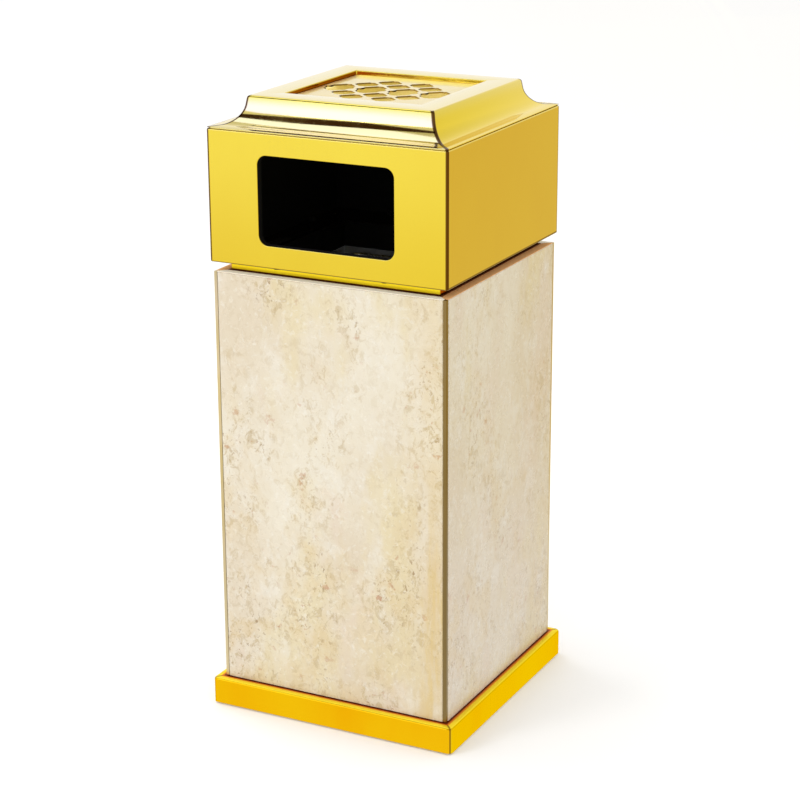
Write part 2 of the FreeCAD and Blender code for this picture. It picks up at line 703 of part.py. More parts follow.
def liner_ear():
    """Right-hand ear: plate riveted inside the wall, with the bail's pivot hole."""
    bottom = HINGE_HEIGHT + EAR_TOP_RADIUS - EAR_HEIGHT
    x0 = EAR_FACE - EAR_THICK
    shoulder = HINGE_HEIGHT - EAR_SHOULDER
    plate = block(x0, EAR_FACE, -EAR_WIDTH / 2, EAR_WIDTH / 2, bottom, shoulder)
    tongue = block(x0, EAR_FACE, -EAR_TOP_RADIUS, EAR_TOP_RADIUS, bottom, HINGE_HEIGHT)
    top = Part.makeCylinder(EAR_TOP_RADIUS, EAR_THICK, V(x0, 0, HINGE_HEIGHT), V(1, 0, 0))
    hole_radius = BAIL_WIRE / 2 + BAIL_RADIAL_PLAY
    hole = Part.makeCylinder(hole_radius, EAR_THICK + 2, V(x0 - 1, 0, HINGE_HEIGHT), V(1, 0, 0))
    ear = plate.fuse(tongue).fuse(top).cut(hole).removeSplitter()
    return cut_all(ear, [ear_rivet_shank(y, z) for y, z in ear_rivet_places()])


def ear_rivet_shank(y, z):
    """Shank of an ear rivet, through ear and wall."""
    start = V(EAR_FACE - EAR_THICK, y, z)
    return Part.makeCylinder(RIVET_RADIUS, EAR_THICK + LINER_SHEET, start, V(1, 0, 0))


def ear_rivets():
    """Two rivets through each ear and the wall, with a head on both ends."""
    rivets = []
    for y, z in ear_rivet_places():
        rivet = ear_rivet_shank(y, z)
        for x, way in ((EAR_FACE - EAR_THICK, -1), (EAR_FACE + LINER_SHEET, 1)):
            head = Part.makeCylinder(RIVET_HEAD_RADIUS, RIVET_HEAD_THICK, V(x, y, z), V(way, 0, 0))
            rivet = rivet.fuse(head)
        rivet = rivet.removeSplitter()
        rivets += [rivet, turned(rivet, 180)]
    return rivets


def liner_bail():
    """Wire handle lying on the bucket's rim, its ends turned outwards through the ears."""
    ear_outside = EAR_FACE + BAIL_END
    hook = BAIL_HOOK_BEND
    half = [
        run(V(ear_outside, 0, 0), V(BAIL_HALF_WIDTH + hook, 0, 0)),
        bend(V(BAIL_HALF_WIDTH + hook, hook, 0), hook, 180, 270),
        run(V(BAIL_HALF_WIDTH, hook, 0), V(BAIL_HALF_WIDTH, BAIL_REACH - BAIL_BEND, 0)),
        bend(V(BAIL_HALF_WIDTH - BAIL_BEND, BAIL_REACH - BAIL_BEND, 0), BAIL_BEND, 0, 90),
        run(V(BAIL_HALF_WIDTH - BAIL_BEND, BAIL_REACH, 0), V(0, BAIL_REACH, 0)),
    ]
    right = half[0].multiFuse(half[1:])
    bail = right.fuse(right.mirror(V(0, 0, 0), V(1, 0, 0))).removeSplitter()
    bail.translate(V(0, 0, HINGE_HEIGHT))
    return bail


def run(start, end):
    """Straight stretch of the bail's wire."""
    way = end - start
    return Part.makeCylinder(BAIL_WIRE / 2, way.Length, start, way)


def bend(centre, radius, from_degrees, to_degrees):
    """Bent stretch of the bail's wire, in a horizontal plane."""
    turn = math.radians(from_degrees)
    start = centre + V(radius * math.cos(turn), radius * math.sin(turn), 0)
    tangent = V(-math.sin(turn), math.cos(turn), 0)
    section = Part.Face(Part.Wire(Part.Circle(start, tangent, BAIL_WIRE / 2).toShape()))
    return section.revolve(centre, Z_AXIS, to_degrees - from_degrees)


# ---------------------------------------------------------------- write every node

save("plinth_tray", plinth_tray())
save("plinth_board", plinth_board())
save("rubber_feet", rubber_feet())
save("foot_screws", foot_screws())
save("body_bolts", body_bolts())
save("body_washers", body_washers())
save("body_nuts", body_nuts())
save("base_gasket", base_gasket())
save("inner_casing", inner_casing())
save("panel_adhesive", panel_adhesive())
for side, degrees in SIDES.items():
    save("stone_panel_" + side, turned(stone_panel(), degrees))
for corner, degrees in CORNERS.items():
    save("corner_trim_" + corner, turned(corner_trim(), degrees))
save("head_walls", head_walls())
save("seam_strap", seam_strap())
save("seam_rivets", seam_rivets())
save("neck_ring", neck_ring())
save("neck_screws", neck_screws())
save("neck_nuts", neck_nuts())
save("plug_skirt", plug_skirt())
save("crown", crown())
save("crown_studs", crown_studs())
save("crown_nuts", crown_nuts())
save("ash_pan", ash_pan())
save("grille_plate", grille_plate())
save("liner_bucket", liner_bucket())
save("liner_ear_right", liner_ear())
save("liner_ear_left", turned(liner_ear(), 180))
save("ear_rivets", ear_rivets())
save("liner_bail", liner_bail())
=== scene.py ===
"""Looks of the ashtray bin: camera, studio, finely formed crown and procedural materials."""

import math

import bmesh
import bpy
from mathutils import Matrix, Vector


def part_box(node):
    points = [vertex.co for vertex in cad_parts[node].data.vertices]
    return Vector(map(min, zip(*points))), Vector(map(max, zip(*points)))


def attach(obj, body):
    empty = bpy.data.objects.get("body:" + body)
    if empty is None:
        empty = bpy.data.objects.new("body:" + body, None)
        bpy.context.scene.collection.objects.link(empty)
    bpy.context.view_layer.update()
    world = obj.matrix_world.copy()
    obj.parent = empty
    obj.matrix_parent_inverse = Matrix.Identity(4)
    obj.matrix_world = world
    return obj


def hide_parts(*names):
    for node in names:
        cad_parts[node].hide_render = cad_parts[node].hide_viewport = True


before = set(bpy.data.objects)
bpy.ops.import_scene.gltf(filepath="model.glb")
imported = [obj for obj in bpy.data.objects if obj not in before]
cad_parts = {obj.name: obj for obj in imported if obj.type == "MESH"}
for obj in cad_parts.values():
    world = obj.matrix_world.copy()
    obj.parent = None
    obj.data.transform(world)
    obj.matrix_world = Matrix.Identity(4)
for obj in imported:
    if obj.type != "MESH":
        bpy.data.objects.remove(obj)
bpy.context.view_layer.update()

MM = 0.001

# Camera, in degrees and metres
CAMERA_AZIMUTH = 27.1
CAMERA_ELEVATION = 17.52
CAMERA_ROLL = -0.3
CAMERA_DISTANCE = 2.308
CAMERA_LENS = 99.6
CAMERA_SHIFT = -0.0175
CAMERA_TARGET = Vector((0.013, 0.0, 0.335))

FLOOR_SIZE = 24.0            # metres

# Crown section in millimetres: insets from its outer edge, heights above its foot
SHEET = 1.2
HEM = 12.0                   # the foot is turned in as far as this inset
REVEAL = (1.2, 1.0)          # depth and height of the groove under the edge
EDGE_ROUND = 0.25
BAND_END = (9.0, 2.2)        # inner end of the nearly flat outer band
BAND_SLOPE = 0.1
COVE_END = (28.0, 21.0)
COVE_PULLS = ((9.5, 1.0), (1.6, 9.6))    # how far the curve's handles reach, at its foot and top
FASCIA_LEAN = math.radians(9.5)
TOP_ROUND = 3.0
MITRE_ROUND = 1.3            # plan radius of the crown's corners
RECESS_HALF = 75.0
RECESS_DEPTH = 7.0
RECESS_ROUND = 0.8
SEAT_HALF = 67.0

# Half widths in millimetres where the materials change
SLAB_HALF = 99.5             # about where the crown's flat top ends
NECK_HALF = 116.5            # the neck ring's upright wall

# Stone: painted light on the top edge, as a tint and a faint glow, on the front and back, and on the two
# sides, where the orange tint is a painted reflection of the gold neck
PALE_LEDGE_PAINTED_LIGHT = ((1.0, 0.90, 0.72), 0.2)
WARM_LEDGE_PAINTED_LIGHT = ((1.0, 0.54, 0.22), 0.06)
STONE_PANELS = (
    # side, seed, upward stretch, speckle, pinkness, ledge's painted light
    ("front", 0.0, 0.6, 1.0, 0.8, PALE_LEDGE_PAINTED_LIGHT),
    ("right", 20.0, 0.35, 0.7, 1.6, WARM_LEDGE_PAINTED_LIGHT),
    ("back", 40.0, 0.6, 0.9, 1.0, PALE_LEDGE_PAINTED_LIGHT),
    ("left", 60.0, 0.45, 0.8, 1.2, WARM_LEDGE_PAINTED_LIGHT),
)


# ---------------------------------------------------------------- camera and studio

def direction(azimuth, elevation):
    """Unit vector from the bin; azimuth 0 is the front (-Y) and 90 the right (+X)."""
    turn = math.radians(azimuth)
    rise = math.radians(elevation)
    return Vector((math.sin(turn) * math.cos(rise), -math.cos(turn) * math.cos(rise), math.sin(rise)))


def add_camera():
    """Long lens a little above the head, looking down at the front right corner."""
    data = bpy.data.cameras.new("camera")
    data.lens = CAMERA_LENS
    data.sensor_width = 36.0
    data.shift_y = CAMERA_SHIFT
    camera = bpy.data.objects.new("camera", data)
    bpy.context.scene.collection.objects.link(camera)
    back = direction(CAMERA_AZIMUTH, CAMERA_ELEVATION)
    camera.location = CAMERA_TARGET + back * CAMERA_DISTANCE
    aim = (-back).to_track_quat("-Z", "Y").to_euler()
    aim.rotate_axis("Z", math.radians(CAMERA_ROLL))
    camera.rotation_euler = aim
    bpy.context.scene.camera = camera


def aimed(thing, azimuth, elevation, distance, height):
    """Puts a light or card in a direction from the bin's axis, facing it."""
    back = direction(azimuth, elevation)
    thing.location = Vector((0, 0, height)) + back * distance
    thing.rotation_euler = (-back).to_track_quat("-Z", "Y").to_euler()
    bpy.context.scene.collection.objects.link(thing)


def add_softbox(name, azimuth, elevation, distance, height, width, length, power):
    """Rectangular soft light."""
    data = bpy.data.lights.new(name, "AREA")
    data.shape = "RECTANGLE"
    data.size = width
    data.size_y = length
    data.energy = power
    light = bpy.data.objects.new(name, data)
    light.visible_camera = False
    aimed(light, azimuth, elevation, distance, height)


def mirrored_only(thing, look):
    """Makes a plane glow and lets only mirror reflections see it."""
    look.set("Base Color", (0.0, 0.0, 0.0))
    look.set("Specular IOR Level", 0.0)
    look.set("Emission Strength", 1.0)
    thing.data.materials.append(look.material)
    thing.visible_camera = False
    thing.visible_diffuse = False
    thing.visible_shadow = False
    thing.visible_transmission = False


def add_card(name, azimuth, elevation, distance, height, width, length, colour):
    """Studio card facing the bin that only mirror reflections see."""
    card = plane(name, width, length)
    look = Look(name)
    look.set("Emission Color", colour)
    mirrored_only(card, look)
    aimed(card, azimuth, elevation, distance, height)


def plane(name, width, length):
    """Flat rectangle, not yet in the scene."""
    x, y = width / 2, length / 2
    mesh = bpy.data.meshes.new(name)
    mesh.from_pydata([(-x, -y, 0), (x, -y, 0), (x, y, 0), (-x, y, 0)], [], [(0, 1, 2, 3)])
    return bpy.data.objects.new(name, mesh)


def add_floor():
    """Pale, faintly glowing floor."""
    floor = plane("floor", FLOOR_SIZE, FLOOR_SIZE)
    bpy.context.scene.collection.objects.link(floor)
    paint = Look("floor_paint", Roughness=0.9)
    paint.set("Base Color", (0.9, 0.9, 0.9))
    paint.set("Emission Color", (1.0, 1.0, 1.0))
    paint.set("Emission Strength", 0.09)
    floor.data.materials.append(paint.material)


def add_mirrored_floor():
    """Floor that only reflections see: white near the bin and far off, yellow between, and yellow-brown to
    the right as painted shade of the floor on the bin's shadow side.
    """
    mirrored = plane("mirrored_floor", FLOOR_SIZE, FLOOR_SIZE)
    mirrored.location.z = 0.5 * MM
    bpy.context.scene.collection.objects.link(mirrored)
    look = Look("mirrored_floor")
    where = look.axes()
    distance = look.node("ShaderNodeVectorMath", {0: look.place}, operation="LENGTH").outputs["Value"]
    colour = look.mix(look.step(distance, 1.6, 3.2), (0.93, 0.87, 0.55), (1.06, 1.10, 1.12))
    rightwards = look.maths("ADD", where["X"], look.times(where["Y"], 0.6))
    # painted shade: yellow-brown towards the right, for the floor on the bin's shadow side
    colour = look.mix(look.step(rightwards, -0.2, 1.2), colour, (0.76, 0.60, 0.20))
    colour = look.mix(look.step(distance, 0.9, 0.4), colour, (1.0, 1.0, 0.9))
    look.set("Emission Color", colour)
    mirrored_only(mirrored, look)


def add_surroundings():
    """White surroundings, which reflections see dimmer overhead and towards the right."""
    world = bpy.data.worlds.new("studio")
    world.use_nodes = True
    nodes = Nodes(world.node_tree)
    where = nodes.parts(nodes.node("ShaderNodeTexCoord").outputs["Generated"])
    mirrored = nodes.node("ShaderNodeLightPath").outputs["Is Glossy Ray"]
    strength = 1.0
    for axis, low, high, loss in (("Z", 0.35, 0.9, 0.45), ("X", -0.1, 0.6, 0.15)):
        settings = {"Value": where[axis], "From Min": low, "From Max": high, "To Max": loss}
        dimming = nodes.node("ShaderNodeMapRange", settings).outputs["Result"]
        strength = nodes.maths("SUBTRACT", strength, nodes.times(dimming, mirrored))
    background = world.node_tree.nodes["Background"]
    nodes.feed(background.inputs["Color"], (1.0, 1.0, 1.0))
    nodes.feed(background.inputs["Strength"], strength)
    bpy.context.scene.world = world
    bpy.context.scene.view_settings.view_transform = "Standard"


def add_studio():
    """Surroundings, floor, soft lights, and the bright and dark cards in the crown's mouldings."""
    add_surroundings()
    add_floor()
    add_mirrored_floor()
    # name, azimuth, elevation, distance, height aimed at, width, length, and the power or colour
    add_softbox("key", -31, 24, 2.9, 0.6, 0.9, 1.4, 19)
    add_softbox("overhead", -105, 60, 2.4, 0.6, 1.0, 0.6, 9)
    add_card("bright_card", -28.5, 17, 2.3, 0.63, 1.2, 1.6, (1.2, 1.35, 4.0))
    add_card("bright_card_high", -106, 62, 2.3, 0.63, 1.9, 0.85, (1.2, 1.35, 2.6))
    add_card("dark_card_high", -50, 51, 2.2, 0.6, 1.1, 0.72, (0.04, 0.016, 0.006))


# ---------------------------------------------------------------- material nodes

class Nodes:
    """A node tree, with short ways to add nodes to it."""

    def __init__(self, tree):
        self.tree = tree

    def node(self, kind, inputs=None, **settings):
        """New node; an input is either a value or another node's output."""
        made = self.tree.nodes.new(kind)
        for name, value in settings.items():
            setattr(made, name, value)
        for key, value in (inputs or {}).items():
            self.feed(made.inputs[key], value)
        return made

    def feed(self, socket, value):
        """Links an output to the socket, or sets the socket's own value."""
        if isinstance(value, bpy.types.NodeSocket):
            self.tree.links.new(value, socket)
        elif isinstance(value, tuple) and len(value) == 3 and socket.type == "RGBA":
            socket.default_value = value + (1,)
        else:
            socket.default_value = value

    def parts(self, vector):
        """The X, Y and Z of a vector."""
        return self.node("ShaderNodeSeparateXYZ", {0: vector}).outputs

    def maths(self, operation, first, second=0.0):
        """Result of a two-value operation."""
        return self.node("ShaderNodeMath", {0: first, 1: second}, operation=operation).outputs[0]

    def times(self, *factors):
        """Product of several values."""
        product = factors[0]
        for factor in factors[1:]:
            product = self.maths("MULTIPLY", product, factor)
        return product

    def without(self, value):
        """What a mask from 0 to 1 leaves out."""
        return self.maths("SUBTRACT", 1.0, value)

    def step(self, value, low, high, to_low=0.0, to_high=1.0):
        """Smooth step of a value between two levels."""
        settings = {"Value": value, "From Min": low, "From Max": high, "To Min": to_low, "To Max": to_high}
        return self.node("ShaderNodeMapRange", settings, interpolation_type="SMOOTHSTEP").outputs["Result"]

    def mix(self, factor, first, second):
        """Mix of two colours by a factor."""
        return self.node("ShaderNodeMix", {0: factor, 6: first, 7: second}, data_type="RGBA").outputs[2]


class Look(Nodes):
    """One procedural material, in the piece's own coordinates in metres."""

    def __init__(self, name, **sockets):
        self.material = bpy.data.materials.new(name)
        self.material.use_nodes = True
        super().__init__(self.material.node_tree)
        self.shader = self.tree.nodes["Principled BSDF"]
        self.place = self.node("ShaderNodeTexCoord").outputs["Object"]
        for socket, value in sockets.items():
            self.set(socket.replace("_", " "), value)

    def set(self, socket, value):
        """Sets or links one of the shader's sockets."""
        self.feed(self.shader.inputs[socket], value)

    def now(self, socket):
        """The output that is linked to one of the shader's sockets."""
        return self.shader.inputs[socket].links[0].from_socket

    def axes(self):
        """The X, Y and Z of the piece's coordinates."""
        return self.parts(self.place)

    def noise(self, scale, detail=2.0, roughness=0.5, stretch=(1, 1, 1), shift=0.0, distortion=0.0):
        """Smooth noise from 0 to 1; scale is in waves per metre."""
        moved = {"Vector": self.place, "Scale": stretch, "Location": (shift, 1.7 * shift, 0.6 * shift)}
        settings = {"Vector": self.node("ShaderNodeMapping", moved).outputs["Vector"], "Scale": scale}
        settings.update({"Detail": detail, "Roughness": roughness, "Distortion": distortion})
        return self.node("ShaderNodeTexNoise", settings).outputs["Fac"]

    def patches(self, low, high, *noise, **settings):
        """Soft-edged patches where a noise rises from one level to another."""
        return self.step(self.noise(*noise, **settings), low, high)

    def cells(self, scale):
        """Scattered cells, each with its own grey from 0 to 1."""
        cells = self.node("ShaderNodeTexVoronoi", {"Vector": self.place, "Scale": scale})
        return self.node("ShaderNodeRGBToBW", {0: cells.outputs["Color"]}).outputs[0]

    def bump(self, height, depth):
        """Surface relief; depth in metres for a height from 0 to 1."""
        settings = {"Height": height, "Distance": depth, "Strength": 1.0}
        self.set("Normal", self.node("ShaderNodeBump", settings).outputs["Normal"])


class Plan:
    """Where a point lies in the bin's square plan, as node outputs in metres."""

    def __init__(self, look):
        x, y, self.height = look.axes()
        across = look.maths("ABSOLUTE", x)
        along = look.maths("ABSOLUTE", y)
        excess = look.maths("SUBTRACT", across, along)
        self.reach = look.maths("MAXIMUM", across, along)      # out from the middle to a wall
        self.aside = look.maths("MINIMUM", across, along)      # along a wall from its middle
        self.off_mitre = look.maths("ABSOLUTE", excess)        # from the line between two walls
        self.side = look.step(excess, -1 * MM, 1 * MM)         # 1 on the right and left walls


def shade(colour, factor):
    """A colour made darker or lighter."""
    return tuple(min(channel * factor, 1.0) for channel in colour)


# ---------------------------------------------------------------- materials

def marble_ground(look, seed, upright, pinkness):
    """Grey-cream clouds with pinkish, honey-coloured and pale areas."""
    clouds = look.patches(0.34, 0.66, 7, 3, 0.55, (1, 1, upright), seed)
    colour = look.mix(clouds, (0.72, 0.66, 0.54), (0.65, 0.56, 0.425))
    blush = look.patches(0.64 - 0.12 * pinkness, 0.7, 17, 3, 0.6, (1, 1, upright), seed + 3)
    colour = look.mix(look.times(blush, 0.5), colour, (0.655, 0.53, 0.42))
    honey = look.patches(0.52, 0.68, 11, 4, 0.6, (1, 1, 0.35), seed + 6)
    colour = look.mix(look.times(honey, 0.6), colour, (0.66, 0.55, 0.30))
    pale = look.patches(0.52, 0.66, 34, 4, 0.65, (1, 1, 0.6), seed + 4)
    return look.mix(look.times(pale, 0.42), colour, (0.74, 0.70, 0.62))


def marble_mottle(look, colour, seed, speckle, low):
    """Worm-shaped mottles, pale flecks, brown grain and rust; most of it gathers in clusters."""
    cluster = look.maths("ADD", look.noise(12, 3, 0.6, (1, 1, 0.8), seed + 9), look.times(low, 0.07))
    gather = look.step(cluster, 0.42, 0.66)
    worms = look.patches(0.50, 0.62, 125, 4, 0.72, (1, 1, 0.75), seed + 2, 0.8)
    amount = look.maths("ADD", 0.16, look.times(gather, 0.5 * speckle))
    colour = look.mix(look.times(worms, amount), colour, (0.46, 0.35, 0.19))
    flecks = look.patches(0.55, 0.66, 170, 3, 0.7, shift=seed + 12, distortion=0.6)
    colour = look.mix(look.times(flecks, 0.42), colour, (0.77, 0.735, 0.655))
    grain = look.patches(0.58, 0.67, 230, 3, 0.65, (1, 1, 0.8), seed + 5, 0.5)
    grain = look.times(grain, look.step(cluster, 0.50, 0.68))
    colour = look.mix(look.times(grain, 0.85 * speckle), colour, (0.29, 0.18, 0.08))
    rust = look.times(look.patches(0.64, 0.71, 75, 3, 0.6, shift=seed + 15), gather)
    colour = look.mix(look.times(rust, 0.75 * speckle), colour, (0.45, 0.22, 0.12))
    return colour, gather, grain


def marble_stains(look, colour, seed, pinkness, low, gather):
    """Yellow-tan stain beside the front's right corner, tan clusters, and a darker, pinker foot."""
    x, y, z = look.axes()
    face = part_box("stone_panel_right")[1].x
    beside_corner = look.step(x, face - 60 * MM, face - 6 * MM)
    on_front = look.maths("LESS_THAN", y, 1 * MM - face)
    streaks = look.patches(0.38, 0.60, 50, 4, 0.65, (1, 1, 0.15), seed + 18)
    strength = look.maths("ADD", 0.22, look.times(streaks, look.step(z, 0.32, 0.16, 0.1, 0.75)))
    colour = look.mix(look.times(beside_corner, on_front, strength), colour, (0.63, 0.47, 0.20))
    tan = look.times(gather, look.patches(0.46, 0.62, 40, 3, 0.6, (1, 1, 0.7), seed + 21))
    colour = look.mix(look.times(tan, look.step(low, 0.0, 1.0, 0.2, 0.42)), colour, (0.63, 0.48, 0.25))
    return look.mix(look.times(low, 0.22 * pinkness - 0.16), colour, (0.60, 0.475, 0.39))


def marble_top(look, colour, tint, glow):
    """Top edge with painted light: a tint for the warm light and reflection of the gold above it, a faint
    glow for light under the head's overhang, and a dark line along the neck as painted shadow.
    """
    plan = Plan(look)
    on_top = look.maths("GREATER_THAN", plan.height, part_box("stone_panel_front")[1].z - 0.3 * MM)
    neck_shadow_line = look.step(plan.reach, (NECK_HALF + 4) * MM, (NECK_HALF + 2) * MM)
    # painted shadow: a dark brown line on the top beside the neck; the rest of the top takes the
    # painted-light tint
    look.set("Base Color", look.mix(on_top, colour, look.mix(neck_shadow_line, tint, (0.20, 0.06, 0.02))))
    look.set("Emission Color", tint)
    # painted light: the top glows faintly, except in the shadow line by the neck
    look.set("Emission Strength", look.times(on_top, look.without(neck_shadow_line), glow))
    look.set("Specular IOR Level", look.step(on_top, 0.0, 1.0, 0.5, 0.0))


def marble(name, seed, upright, speckle, pinkness, ledge):
    """Cream marble; the seed shifts its pattern, and upright below 1 draws its clouds out upwards."""
    look = Look(name)
    low = look.step(look.axes()["Z"], 0.40, 0.10)
    colour = marble_ground(look, seed, upright, pinkness)
    colour, gather, grain = marble_mottle(look, colour, seed, speckle, low)
    colour = marble_stains(look, colour, seed, pinkness, low, gather)
    marble_top(look, colour, *ledge)
    look.set("Roughness", look.step(look.noise(45, 4, 0.6, shift=seed + 8), 0.3, 0.7, 0.18, 0.32))
    look.bump(look.without(grain), 0.1 * MM)
    return look.material


def polish(look, tint, deep, roughness):
    """Coated polished sheet: clouded tint, smudges, hair scratches and slight waves."""
    clouds = look.patches(0.3, 0.72, 6, 3, 0.5, (1, 1, 0.6))
    look.set("Base Color", look.mix(clouds, tint, deep))
    smudges = look.patches(0.42, 0.72, 22, 5, 0.62, shift=3.0)
    hairs = look.patches(0.55, 0.72, 240, 3, 0.7, (1, 1, 0.03), 5.0)
    dull = look.maths("ADD", look.times(smudges, 0.55), look.times(hairs, 0.35))
    look.set("Roughness", look.step(dull, 0.0, 1.0, roughness, roughness * 2.4))
    look.bump(look.noise(11, 1, 0.4, shift=6.0), 0.05 * MM)


def lacquer(look, weight):
    """Thin clear coat over the tint."""
    look.set("Coat Weight", weight)
    look.set("Coat Roughness", 0.06)
    look.set("Coat IOR", 1.5)


def gold_sheet():
    """Gold-coated steel of the head's walls, with dark lines painted at the corners as reflections and
    along the bottom edge as shade; their inside is near-black as painted shade of the head's interior.
    """
    look = Look("gold_sheet", Specular_IOR_Level=0.2)
    polish(look, (0.89, 0.67, 0.032), (0.86, 0.62, 0.024), 0.09)
    plan = Plan(look)
    low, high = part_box("head_walls")
    inside = look.maths("LESS_THAN", plan.reach, high.x - 1.0 * MM)
    # painted reflection down the corners and painted shade along the bottom edge, both as dark brown lines
    corner = look.step(plan.aside, high.x - 3.0 * MM, high.x - 2.0 * MM)
    above = look.maths("SUBTRACT", plan.height, low.z)
    above = look.maths("SUBTRACT", above, look.times(plan.side, 1.2 * MM))
    bottom = look.times(look.step(above, 1.6 * MM, 0.8 * MM), 0.85)
    painted_bend_lines = look.maths("MAXIMUM", corner, bottom)
    colour = look.mix(look.times(painted_bend_lines, 0.95), look.now("Base Color"), (0.11, 0.035, 0.008))
    grit = look.noise(600, 3, 0.6)
    # painted shade: near-black inside faces stand in for the dark interior
    coat = look.mix(grit, (0.002, 0.0018, 0.0015), (0.006, 0.005, 0.004))
    look.set("Base Color", look.mix(inside, colour, coat))
    look.set("Metallic", look.without(inside))
    look.set("Roughness", look.maths("MAXIMUM", look.now("Roughness"), look.times(inside, 0.85)))
    lacquer(look, look.without(look.maths("MAXIMUM", inside, painted_bend_lines)))
    return look.material


def gold_crown():
    """The same coated steel on the crown, with dark mitre seams, a paler cove on the front and back as
    painted highlight, and uncoated recess walls in orange on the front and back and dark brown on the
    sides as painted shade and reflection.
    """
    look = Look("gold_crown", Metallic=1.0)
    polish(look, (0.89, 0.68, 0.02), (0.87, 0.65, 0.012), 0.08)
    plan = Plan(look)
    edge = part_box("crown")[1].x
    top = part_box("crown")[1].z
    cove_top = edge - COVE_END[0] * MM
    moulding = look.step(plan.reach, cove_top - 1.7 * MM, cove_top + 0.3 * MM)
    # painted highlight: the cove is paler on the front and back than on the sides
    moulding_painted_highlight = look.mix(plan.side, (0.89, 0.72, 0.19), (0.91, 0.67, 0.012))
    colour = look.mix(moulding, look.now("Base Color"), moulding_painted_highlight)
    off_slab = look.step(plan.reach, (SLAB_HALF - 1) * MM, (SLAB_HALF + 1) * MM)
    seam = look.times(look.step(plan.off_mitre, 3.2 * MM, 2.0 * MM), off_slab)
    colour = look.mix(look.times(seam, 0.95), colour, (0.08, 0.025, 0.006))
    depth = look.maths("ADD", look.maths("SUBTRACT", top, plan.height), look.times(plan.side, 3.4 * MM))
    in_recess = look.step(plan.reach, (RECESS_HALF + 1.0) * MM, (RECESS_HALF + 0.2) * MM)
    in_recess = look.times(in_recess, look.step(depth, 3.6 * MM, 5.2 * MM))
    # painted shade and reflection in the recess: dark brown on the side walls, orange on the front and
    # back
    recess_painted_shade = look.mix(plan.side, (0.80, 0.36, 0.02), (0.25, 0.05, 0.008))
    look.set("Base Color", look.mix(look.times(in_recess, 0.92), colour, recess_painted_shade))
    look.set("Specular Tint", look.mix(in_recess, (1.0, 1.0, 1.0), (1.0, 0.5, 0.1)))
    bare = look.maths("MAXIMUM", in_recess, seam)
    bare = look.maths("MAXIMUM", bare, look.times(plan.side, moulding, 0.7))
    lacquer(look, look.without(bare))
    return look.material


def gold_neck():
    """Coated steel ring under the head: orange sides as painted reflection, a dark line at its foot as
    painted shadow, and near-black inside as painted shade.
    """
    look = Look("gold_neck", Specular_IOR_Level=0.2)
    polish(look, (1.0, 0.80, 0.03), (0.97, 0.72, 0.02), 0.12)
    plan = Plan(look)
    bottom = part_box("neck_ring")[0].z
    inner = look.maths("LESS_THAN", plan.reach, (NECK_HALF - 0.7) * MM)
    in_head = look.maths("GREATER_THAN", plan.height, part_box("head_walls")[0].z + 0.3 * MM)
    inside = look.maths("MAXIMUM", inner, in_head)
    # painted reflection: the sides are orange where they mirror the stone's top
    colour = look.mix(plan.side, look.now("Base Color"), (1.0, 0.42, 0.03))
    # painted shadow: a dark line along the foot, where the ring meets the stone
    foot = look.step(plan.height, bottom + 1.9 * MM, bottom + 1.1 * MM)
    colour = look.mix(look.times(foot, 0.9), colour, (0.20, 0.055, 0.010))
    # painted shade: near-black inside the ring and where it reaches up into the head
    look.set("Base Color", look.mix(inside, colour, (0.004, 0.0035, 0.003)))
    look.set("Specular Tint", (1.0, 0.6, 0.1))
    look.set("Metallic", look.without(inside))
    return look.material


def gold_plate():
    """Satin plate under the stubs, paler than the rest; the upright edges of its holes are darker, and
    near-black where they face right, as painted shade.
    """
    look = Look("gold_plate", Metallic=1.0)
    polish(look, (0.92, 0.78, 0.34), (0.90, 0.72, 0.28), 0.34)
    facing = look.parts(look.node("ShaderNodeNewGeometry").outputs["Normal"])
    # painted shade: upright faces darker, those facing +X near-black
    wall = look.step(facing["Z"], 0.7, 0.4)
    cut_painted_shade = look.step(facing["X"], 0.45, 0.95)
    colour = look.mix(wall, look.now("Base Color"), (0.62, 0.46, 0.13))
    look.set("Base Color", look.mix(cut_painted_shade, colour, (0.05, 0.02, 0.006)))
    lacquer(look, look.times(look.without(cut_painted_shade), 0.6))
    return look.material


def ash_pan():
    """Pale brass-coloured pan, darker towards its floor as painted shade; a faint glow stands in for light
    scattered between its bright walls.
    """
    look = Look("ash_pan_sheet", Roughness=0.45)
    dust = look.patches(0.4, 0.7, 55, 4, 0.6)
    soot = look.patches(0.56, 0.72, 120, 4, 0.65, shift=4.0)
    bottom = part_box("ash_pan")[0].z
    # painted shade: the pan darkens towards its floor
    deep = look.step(look.axes()["Z"], bottom + 11 * MM, bottom + 1.5 * MM)
    colour = look.mix(dust, (0.95, 0.82, 0.36), (0.88, 0.72, 0.27))
    colour = look.mix(deep, colour, (0.50, 0.38, 0.13))
    look.set("Base Color", look.mix(look.times(soot, 0.4), colour, (0.42, 0.34, 0.16)))
    look.set("Emission Color", (0.80, 0.68, 0.17))
    look.set("Emission Strength", look.step(deep, 0.0, 1.0, 0.28, 0.12))
    look.bump(look.noise(400, 2, 0.5), 0.02 * MM)
    return look.material


